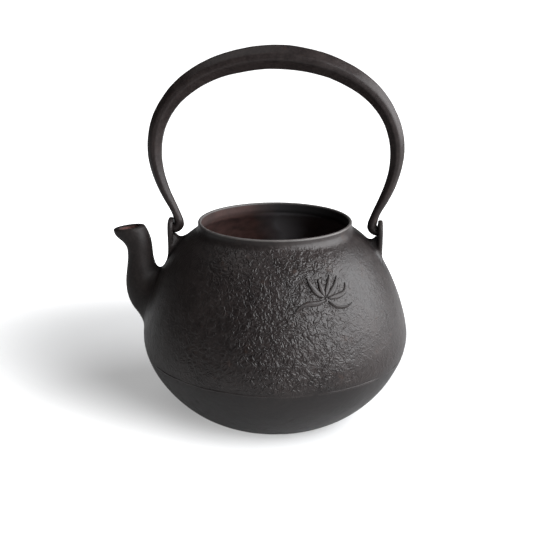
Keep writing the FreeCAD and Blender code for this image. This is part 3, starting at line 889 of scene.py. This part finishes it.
def iron(name, dark=(0.0068, 0.0053, 0.0052), light=(0.0180, 0.0142, 0.0134), rough=(0.32, 0.48), grain_bump=0.9, spec=0.21,
         rust_attr=None, rust_amount=0.0, rust_cols=((0.028, 0.014, 0.012), (0.085, 0.042, 0.036)), wrinkle=False,
         rust_and_painted_light=False, ior=1.5):
    m = bpy.data.materials.new(name)
    m.use_nodes = True
    nt = m.node_tree
    nt.nodes.clear()
    out = node(nt, "ShaderNodeOutputMaterial", (900, 0))
    bs = node(nt, "ShaderNodeBsdfPrincipled", (600, 0))
    nt.links.new(bs.outputs[0], out.inputs[0])
    bs.inputs["IOR"].default_value = ior
    bs.inputs["Metallic"].default_value = 0.0
    bs.inputs["Specular IOR Level"].default_value = spec
    co = node(nt, "ShaderNodeTexCoord", (-1400, 0)).outputs["Object"]
    cloud = noise(nt, co, 26, 4, 0.6, 0.4)
    mottle = noise(nt, co, 150, 4, 0.6, 0.3)
    speck = noise(nt, co, 620, 2, 0.6)
    f = mathn(nt, "ADD", mathn(nt, "MULTIPLY", cloud, 0.55), mathn(nt, "MULTIPLY", mottle, 0.45))
    base = ramp(nt, f, [(0.36, dark), (0.52, tuple((a + b) / 2 for a, b in zip(dark, light))), (0.68, light)])
    fine = ramp(nt, speck, [(0.42, (0, 0, 0)), (0.75, (1, 1, 1))])
    base = mix(nt, mathn(nt, "MULTIPLY", fine, 0.30), base, tuple(1.7 * c for c in light))
    # scattered brown oxide freckles
    fre = noise(nt, co, 95, 6, 0.72, 0.2)
    frm = ramp(nt, fre, [(0.60, (0, 0, 0)), (0.72, (1, 1, 1))])
    base = mix(nt, mathn(nt, "MULTIPLY", frm, 0.38), base, (0.038, 0.021, 0.015))
    rgh = mathn(nt, "ADD", mathn(nt, "MULTIPLY", mottle, rough[1] - rough[0]), rough[0] - 0.02)
    rgh = mathn(nt, "ADD", rgh, mathn(nt, "MULTIPLY", frm, 0.10))
    masks = []
    if rust_and_painted_light:
        # painted highlight: the top of the rim is mixed towards a lighter grey so it reads as a bright line
        e = node(nt, "ShaderNodeAttribute", (-1400, -200), attribute_name="rim_painted_highlight").outputs["Fac"]
        base = mix(nt, mathn(nt, "MULTIPLY", e, mathn(nt, "ADD", mottle, 0.3), True), base, (0.085, 0.079, 0.076))
    if rust_attr:
        a = node(nt, "ShaderNodeAttribute", (-1400, -400), attribute_name=rust_attr)
        masks.append(a.outputs["Fac"])
    if rust_and_painted_light:
        # inside the pot: height window below the lip, seen only on the inner wall (attribute inner)
        a = node(nt, "ShaderNodeAttribute", (-1400, -600), attribute_name="inner")
        masks.append(a.outputs["Fac"])
    for mk in masks:
        n1 = noise(nt, co, 70, 6, 0.65, 0.6)
        n2 = noise(nt, co, 22, 3, 0.5)
        rcol = ramp(nt, n1, [(0.34, rust_cols[0]), (0.66, rust_cols[1])])
        amt = mathn(nt, "MULTIPLY", mk, ramp(nt, n2, [(0.30, (0.55,) * 3), (0.62, (1, 1, 1))]))
        amt = mathn(nt, "MULTIPLY", amt, rust_amount, True)
        if rust_and_painted_light:
            sx = node(nt, "ShaderNodeSeparateXYZ", (-1200, -700))
            nt.links.new(co, sx.inputs[0])
            side = mathn(nt, "ADD", sx.outputs[0], mathn(nt, "MULTIPLY", mathn(nt, "SUBTRACT", n2, 0.5), 0.05))
            side = mathn(nt, "MULTIPLY", mathn(nt, "ADD", side, 0.002), -55.0, True)
            band = mathn(nt, "MULTIPLY", mathn(nt, "SUBTRACT", sx.outputs[2], 0.1265), 300.0, True)
            # painted light and shade on the inner wall: away from the left side the wall below the neck is a light
            # grey that stands in for light in the shaded interior, and the neck band is near-black painted shade; on
            # the left side the wall is dark iron under the rust
            wallc = mix(nt, band, (0.21, 0.20, 0.21), (0.012, 0.011, 0.0115))
            wallc = mix(nt, side, wallc, (0.018, 0.014, 0.014))
            base = mix(nt, mathn(nt, "MULTIPLY", mk, 0.9), base, wallc)
            low = mathn(nt, "MULTIPLY", mathn(nt, "SUBTRACT", 0.04, sx.outputs[2]), 40.0, True)
            amt = mathn(nt, "MULTIPLY", amt, mathn(nt, "ADD", side, mathn(nt, "MULTIPLY", low, 0.6), True))
            neck = mathn(nt, "ADD", sx.outputs[2], mathn(nt, "MULTIPLY", mathn(nt, "SUBTRACT", n1, 0.5), 0.006))
            neck = mathn(nt, "MAXIMUM", mathn(nt, "MULTIPLY", mathn(nt, "SUBTRACT", 0.1335, neck), 260.0, True), 0.9)
            amt = mathn(nt, "MULTIPLY", amt, neck)
            # painted shade: the rust colour is darkened in the neck band too
            rcol = mix(nt, mathn(nt, "MULTIPLY", band, 0.62), rcol, (0.013, 0.0075, 0.0065))
        base = mix(nt, amt, base, rcol)
        rgh = mathn(nt, "ADD", rgh, mathn(nt, "MULTIPLY", mk, 0.35), True)
    nt.links.new(base, bs.inputs["Base Color"])
    nt.links.new(rgh, bs.inputs["Roughness"])
    # surface relief: sand grain, and a network of grooves where the skin is wrinkled
    h = mathn(nt, "MULTIPLY", noise(nt, co, 1500, 3, 0.65), 0.10)
    h = mathn(nt, "ADD", h, mathn(nt, "MULTIPLY", noise(nt, co, 300, 3, 0.6), 0.45))
    if wrinkle:
        wa = node(nt, "ShaderNodeAttribute", (-1400, -800), attribute_name="grain").outputs["Fac"]
        fold = mathn(nt, "ABSOLUTE", mathn(nt, "SUBTRACT", noise(nt, co, 285, 1.5, 0.45, 1.0), 0.5))
        sm = node(nt, "ShaderNodeMapRange", (-300, -700), interpolation_type="SMOOTHSTEP")
        sm.inputs["From Min"].default_value = 0.0
        sm.inputs["From Max"].default_value = 0.20
        nt.links.new(fold, sm.inputs["Value"])
        h = mathn(nt, "ADD", h, mathn(nt, "MULTIPLY", mathn(nt, "MULTIPLY", sm.outputs[0], wa), 1.75))
        smooth = mathn(nt, "SUBTRACT", 1.0, wa, True)
        rgh = mathn(nt, "ADD", rgh, mathn(nt, "MULTIPLY", smooth, 0.13), True)
        nt.links.new(rgh, bs.inputs["Roughness"])
        spz = node(nt, "ShaderNodeSeparateXYZ", (-1200, -1100))
        nt.links.new(co, spz.inputs[0])
        # painted shade: the base colour darkens below about 52 mm, where the belly turns down away from the light
        painted_shade_low = mathn(nt, "MULTIPLY", mathn(nt, "SUBTRACT", 0.052, spz.outputs[2]), 120.0, True)
        base = mix(nt, mathn(nt, "MULTIPLY", painted_shade_low, 0.5), base, (0.0050, 0.0046, 0.0048))
        # painted shade: the base colour darkens in the corner round each lug's root
        lug_root_painted_shade = node(nt, "ShaderNodeAttribute", (-1400, -1000), attribute_name="lug_root_painted_shade").outputs["Fac"]
        base = mix(nt, mathn(nt, "MULTIPLY", lug_root_painted_shade, 0.6), base, (0.004, 0.0036, 0.0036))
        nt.links.new(base, bs.inputs["Base Color"])
    bump = node(nt, "ShaderNodeBump", (300, -400))
    bump.inputs["Strength"].default_value = grain_bump
    bump.inputs["Distance"].default_value = 0.0003
    nt.links.new(h, bump.inputs["Height"])
    nt.links.new(bump.outputs[0], bs.inputs["Normal"])
    return m


def assign(ob, mat):
    ob.data.materials.clear()
    ob.data.materials.append(mat)


# ----------------------------------------------------------------------------
# Build everything
# ----------------------------------------------------------------------------
pos, faces, grain, hgt = build_pot()
rr = np.hypot(pos[:, 0], pos[:, 1])
inner = ((np.abs(cavity_sd(pos)) < 0.6) & (pos[:, 2] < 135.9)).astype(float)
# two of these attributes carry painted light: shade in the corner round each lug root, and a highlight along the top
# of the rim
pot = make_mesh("kettle_vessel", pos, faces, {"grain": grain, "inner": inner, "lug_root_painted_shade": 1 - sstep(0, 9, lug_sd(pos)), "rim_painted_highlight": sstep(135.7, 136.5, pos[:, 2])})


def cutter_tube():
    """Follows the bore from inside the pot to just outside its wall."""
    rows = [i for i in range(len(ST)) if ST[i, 0] > -97 and ST_LEN[i] < ST_LEN[-1] * 0.5]
    m = 64
    th = np.arange(m) * 2 * math.pi / m
    vs = []
    for i in rows:
        x, z, lean, _, _, a, b = ST[i]
        ln = math.radians(lean)
        u = (a + 0.35) * np.cos(th)
        y = (b + 0.35) * np.sin(th)
        vs.append(np.c_[x + u * math.cos(ln), y, z + u * math.sin(ln)])
    v = np.vstack(vs)
    k = len(rows)
    f = []
    for i in range(k - 1):
        for j in range(m):
            q = (j + 1) % m
            f.append((i * m + j, i * m + q, (i + 1) * m + q, (i + 1) * m + j))
    f.append(tuple(range(m))[::-1])
    f.append(tuple((k - 1) * m + j for j in range(m)))
    return v, f


cv, cf = cutter_tube()
cut = make_mesh("bore_cutter", cv, cf)
bpy.context.view_layer.update()
for o in (cut,):
    bm = bmesh.new()
    bm.from_mesh(o.data)
    bmesh.ops.recalc_face_normals(bm, faces=bm.faces)
    bm.to_mesh(o.data)
    bm.free()
md = pot.modifiers.new("bore", "BOOLEAN")
md.operation = "DIFFERENCE"
md.object = cut
md.solver = "EXACT"
dg = bpy.context.evaluated_depsgraph_get()
baked = bpy.data.meshes.new_from_object(pot.evaluated_get(dg), preserve_all_data_layers=True, depsgraph=dg)
print("pot faces before", len(pot.data.polygons), "after the bore", len(baked.polygons))
pot.modifiers.clear()
old = pot.data
pot.data = baked
bpy.data.meshes.remove(old)
baked.name = "kettle_vessel"
bpy.data.objects.remove(cut, do_unlink=True)

sv, sf, srust, _ = build_spout()
spout = make_mesh("kettle_spout", sv, sf.tolist(), {"rust": srust})
lv, lf, _ = build_lug(-1)
lug_l = make_mesh("kettle_lug_spout_side", lv, lf.tolist())
lv, lf, _ = build_lug(1)
lug_r = make_mesh("kettle_lug_rear", lv, lf.tolist())
bv, bf, _ = build_bail()
bail = make_mesh("bail_handle", bv, bf)
lv, lf = build_sprig()
sprig = make_mesh("leaf_relief", lv, lf)
mv, mf = build_seam()
seam = make_mesh("mould_seam", mv, mf)

# every closed mesh faces outward
for o in (pot, spout, lug_l, lug_r, bail, sprig, seam):
    bm = bmesh.new()
    bm.from_mesh(o.data)
    bmesh.ops.recalc_face_normals(bm, faces=bm.faces)
    bm.to_mesh(o.data)
    bm.free()
    o.data.shade_smooth()
    print(o.name, len(o.data.vertices), sum(len(p.vertices) - 2 for p in o.data.polygons))

mat_pot = iron("vessel_iron", wrinkle=True, rough=(0.26, 0.42), rust_and_painted_light=True, rust_amount=1.0,
               rust_cols=((0.036, 0.018, 0.015), (0.105, 0.052, 0.045)))
mat_spout = iron("spout_iron", rough=(0.46, 0.62), spec=0.16, rust_attr="rust", rust_amount=1.0, rust_cols=((0.10, 0.044, 0.038), (0.34, 0.17, 0.155)))
mat_lug = iron("lug_iron", rough=(0.44, 0.60))
mat_bail = iron("bail_iron", (0.0074, 0.0056, 0.0055), (0.0195, 0.0150, 0.0142), (0.33, 0.48), 0.6, 0.13)
mat_sprig = iron("relief_iron", rough=(0.34, 0.5), grain_bump=0.3)
mat_seam = iron("seam_iron", grain_bump=0.4)
for o, mt in ((pot, mat_pot), (spout, mat_spout), (lug_l, mat_lug), (lug_r, mat_lug), (bail, mat_bail), (sprig, mat_sprig), (seam, mat_seam)):
    assign(o, mt)

for o in (pot, spout, lug_l, lug_r, sprig, seam):
    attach(o, "kettle")
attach(bail, "bail")
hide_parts("vessel")
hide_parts("spout")
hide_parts("spout_lug")
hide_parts("rear_lug")
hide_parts("handle")

# ----------------------------------------------------------------------------
# Floor, lights, world, camera
# ----------------------------------------------------------------------------
bpy.ops.mesh.primitive_plane_add(size=1)
floor = bpy.context.object
floor.name = "studio_floor"
floor.scale = (60, 60, 1)
floor.location = (0, 0, 0)
fm = bpy.data.materials.new("studio_floor")
fm.use_nodes = True
nt = fm.node_tree
nt.nodes.clear()
out = node(nt, "ShaderNodeOutputMaterial", (600, 0))
dif = node(nt, "ShaderNodeBsdfDiffuse", (0, 0))
dif.inputs["Color"].default_value = (0.40, 0.40, 0.40, 1)
emi = node(nt, "ShaderNodeEmission", (0, -200))
geo = node(nt, "ShaderNodeNewGeometry", (-900, 0))
# the floor glows; as a painted shadow its glow is dim in a soft oval centred a little behind the pot and brightens
# away from it
sepf = node(nt, "ShaderNodeSeparateXYZ", (-800, 0))
nt.links.new(geo.outputs["Position"], sepf.inputs[0])
fx = mathn(nt, "SUBTRACT", sepf.outputs[0], 0.0209)
fy = mathn(nt, "SUBTRACT", sepf.outputs[1], 0.0667)
ca, sa = math.cos(-0.2951), math.sin(-0.2951)
fu = mathn(nt, "MULTIPLY", mathn(nt, "ADD", mathn(nt, "MULTIPLY", fx, ca), mathn(nt, "MULTIPLY", fy, sa)), 0.4851)
fv = mathn(nt, "SUBTRACT", mathn(nt, "MULTIPLY", fy, ca), mathn(nt, "MULTIPLY", fx, sa))
oval = node(nt, "ShaderNodeCombineXYZ", (-600, 0))
nt.links.new(fu, oval.inputs[0])
nt.links.new(fv, oval.inputs[1])
ln = node(nt, "ShaderNodeVectorMath", (-550, 0), operation="LENGTH")
nt.links.new(oval.outputs[0], ln.inputs[0])
mr = node(nt, "ShaderNodeMapRange", (-500, 0), interpolation_type="SMOOTHSTEP")
mr.inputs["From Min"].default_value = 0.0964
mr.inputs["From Max"].default_value = 0.2244
mr.inputs["To Min"].default_value = 0.32
mr.inputs["To Max"].default_value = 1.3
nt.links.new(ln.outputs["Value"], mr.inputs["Value"])
flp = node(nt, "ShaderNodeLightPath", (-700, -300))
share = mathn(nt, "ADD", mathn(nt, "MULTIPLY", flp.outputs["Is Camera Ray"], 0.72), 0.28)
nt.links.new(mathn(nt, "MULTIPLY", mr.outputs[0], share), emi.inputs["Strength"])
add = node(nt, "ShaderNodeAddShader", (300, 0))
nt.links.new(dif.outputs[0], add.inputs[0])
nt.links.new(emi.outputs[0], add.inputs[1])
nt.links.new(add.outputs[0], out.inputs[0])
assign(floor, fm)


def area(name, loc, aim, size, size_y, power, colour=(1, 1, 1), spread=180):
    d = bpy.data.lights.new(name, "AREA")
    d.shape = "RECTANGLE"
    d.size, d.size_y = size, size_y
    d.energy = power
    d.color = colour
    d.spread = math.radians(spread)
    o = bpy.data.objects.new(name, d)
    o.location = loc
    o.rotation_euler = (Vector(aim) - Vector(loc)).to_track_quat("-Z", "Y").to_euler()
    bpy.context.scene.collection.objects.link(o)
    return o


area("key_right", (0.94, -0.28, 0.59), (0, 0, 0.06), 1.9, 1.05, 70.5, (0.965, 0.98, 1.0))
area("top_left", (-0.38, 0.05, 1.28), (0, 0, 0.1), 0.8, 0.8, 3.6)

w = bpy.data.worlds.new("studio")
bpy.context.scene.world = w
w.use_nodes = True
nt = w.node_tree
nt.nodes.clear()
wo = node(nt, "ShaderNodeOutputWorld", (600, 0))
lp = node(nt, "ShaderNodeLightPath", (-400, 200))
b1 = node(nt, "ShaderNodeBackground", (0, 100))
b2 = node(nt, "ShaderNodeBackground", (0, -100))
b1.inputs["Color"].default_value = (0.75, 0.78, 0.82, 1)
b1.inputs["Strength"].default_value = 0.025
b2.inputs["Color"].default_value = (1, 1, 1, 1)
b2.inputs["Strength"].default_value = 1.0
mx = node(nt, "ShaderNodeMixShader", (300, 0))
nt.links.new(lp.outputs["Is Camera Ray"], mx.inputs[0])
nt.links.new(b1.outputs[0], mx.inputs[1])
nt.links.new(b2.outputs[0], mx.inputs[2])
nt.links.new(mx.outputs[0], wo.inputs[0])

sc = bpy.context.scene
sc.view_settings.view_transform = "Standard"
sc.view_settings.look = "None"

cam = bpy.data.cameras.new("camera")
cam.lens = 57.6
cam.sensor_width = 36.0
cam.clip_start, cam.clip_end = 0.01, 100
co = bpy.data.objects.new("camera", cam)
sc.collection.objects.link(co)
co.location = (0.03566, -0.5831, 0.287)
az, pt = math.radians(3.5), math.radians(18.0)
fwd = Vector((-math.sin(az) * math.cos(pt), math.cos(az) * math.cos(pt), -math.sin(pt)))
co.rotation_mode = "QUATERNION"
co.rotation_quaternion = fwd.to_track_quat("-Z", "Y")
sc.camera = co
